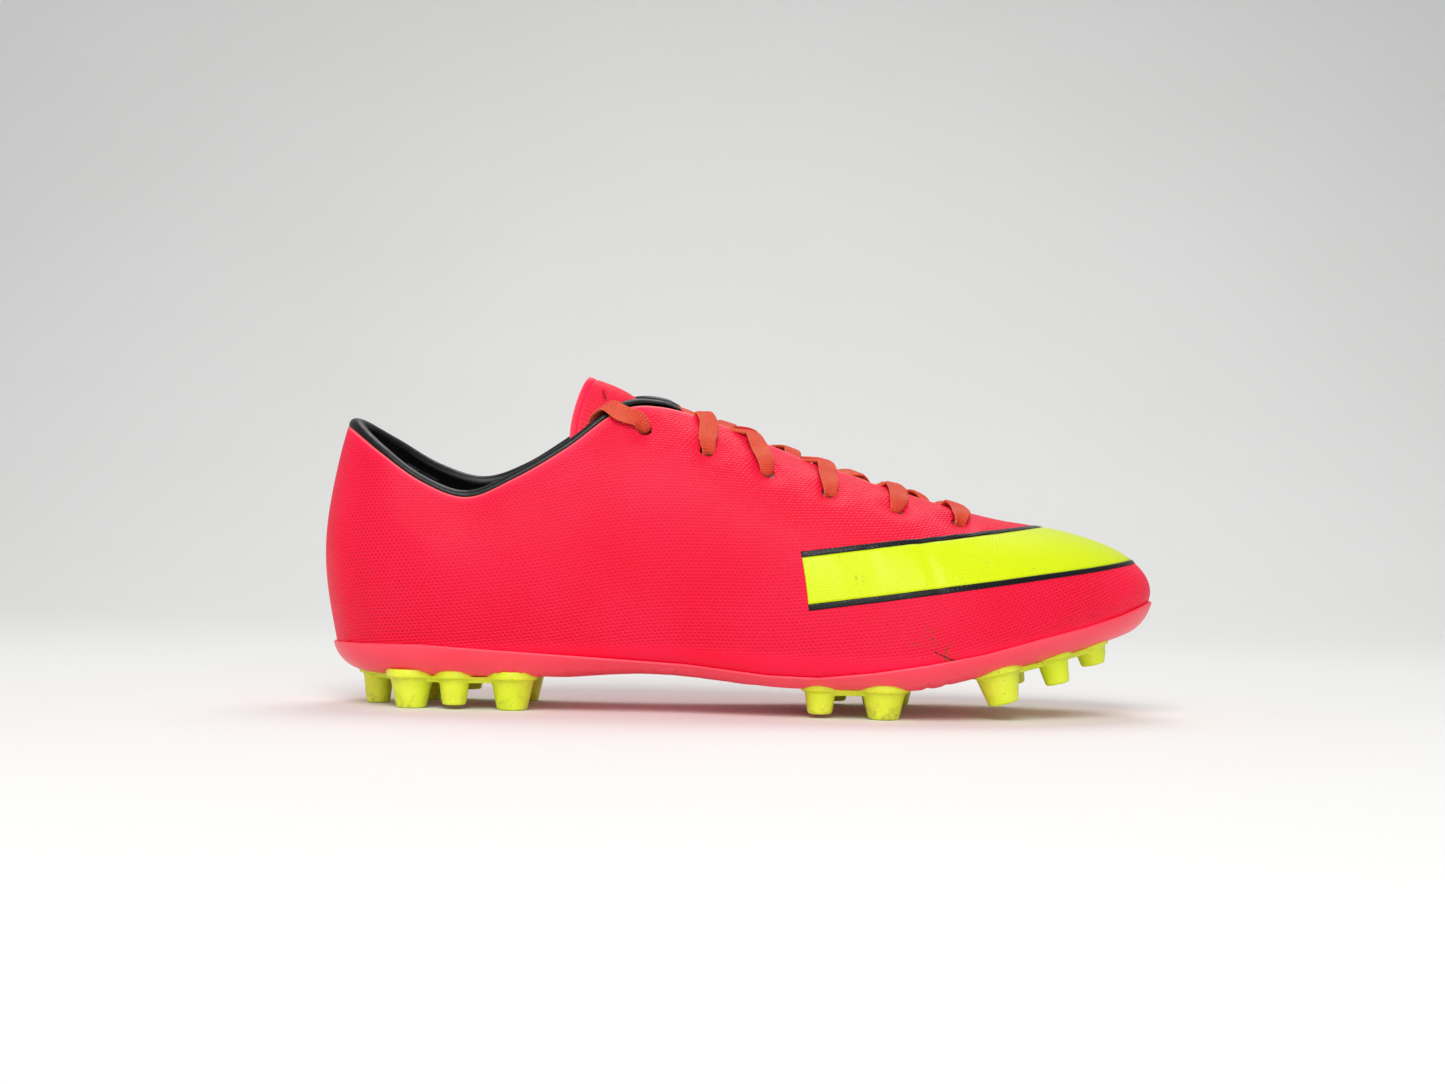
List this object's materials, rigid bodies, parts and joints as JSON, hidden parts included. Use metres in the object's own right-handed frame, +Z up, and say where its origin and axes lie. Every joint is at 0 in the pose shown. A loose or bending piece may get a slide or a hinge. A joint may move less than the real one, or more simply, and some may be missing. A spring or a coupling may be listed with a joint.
{
  "type": "soccer cleat",
  "caption": "Low-cut right-foot soccer cleat with a textured one-piece upper, flat laces, rolled collar and conical stud frames.",
  "frame": {"origin": "middle of the shoe's bounding box in plan, on the ground plane under the stud tips", "axes": "+X towards the toe, +Y towards the medial (inner) side of this right shoe, +Z up"},
  "size_m": [0.2808, 0.091, 0.1112],
  "materials": {
    "upper": "embossed synthetic microfibre",
    "plate": "smooth moulded nylon",
    "stud": "moulded TPU, slightly translucent",
    "board": "pressed fibre board",
    "foam": "closed-cell foam",
    "sock_fabric": "woven textile",
    "lining": "soft knit",
    "stiffener": "thermoformed sheet",
    "collar": "satin synthetic",
    "band": "printed film",
    "band_edge": "printed film",
    "lace": "flat woven polyester",
    "aglet": "clear film over the lace"
  },
  "bodies": {
    "shoe": {"outsole_plate": "plate", "heel_stud_frame": "stud", "ball_stud_frame": "stud", "toe_stud_frame": "stud", "insole_board": "board", "sockliner_foam": "foam", "sockliner_cover": "sock_fabric", "upper_shell": "upper", "quarter_lining": "lining", "heel_counter": "stiffener", "toe_puff": "stiffener", "eyestay_lateral": "stiffener", "eyestay_medial": "stiffener", "collar_foam": "foam", "collar_lining": "collar", "back_strip": "upper", "side_band": "band", "side_band_edge": "band_edge", "lace": "lace", "lace_aglets": "aglet"},
    "tongue": {"tongue_face": "upper", "tongue_backing": "lining"}
  },
  "joints": [
    {"name": "tongue_hinge", "type": "hinge", "parent": "shoe", "child": "tongue", "pos_m": [0.094, 0.0025, 0.055], "axis": [0, 1, 0], "range_deg": [-12, 0], "stiffness_Nm_per_rad": 0.05}
  ]
}
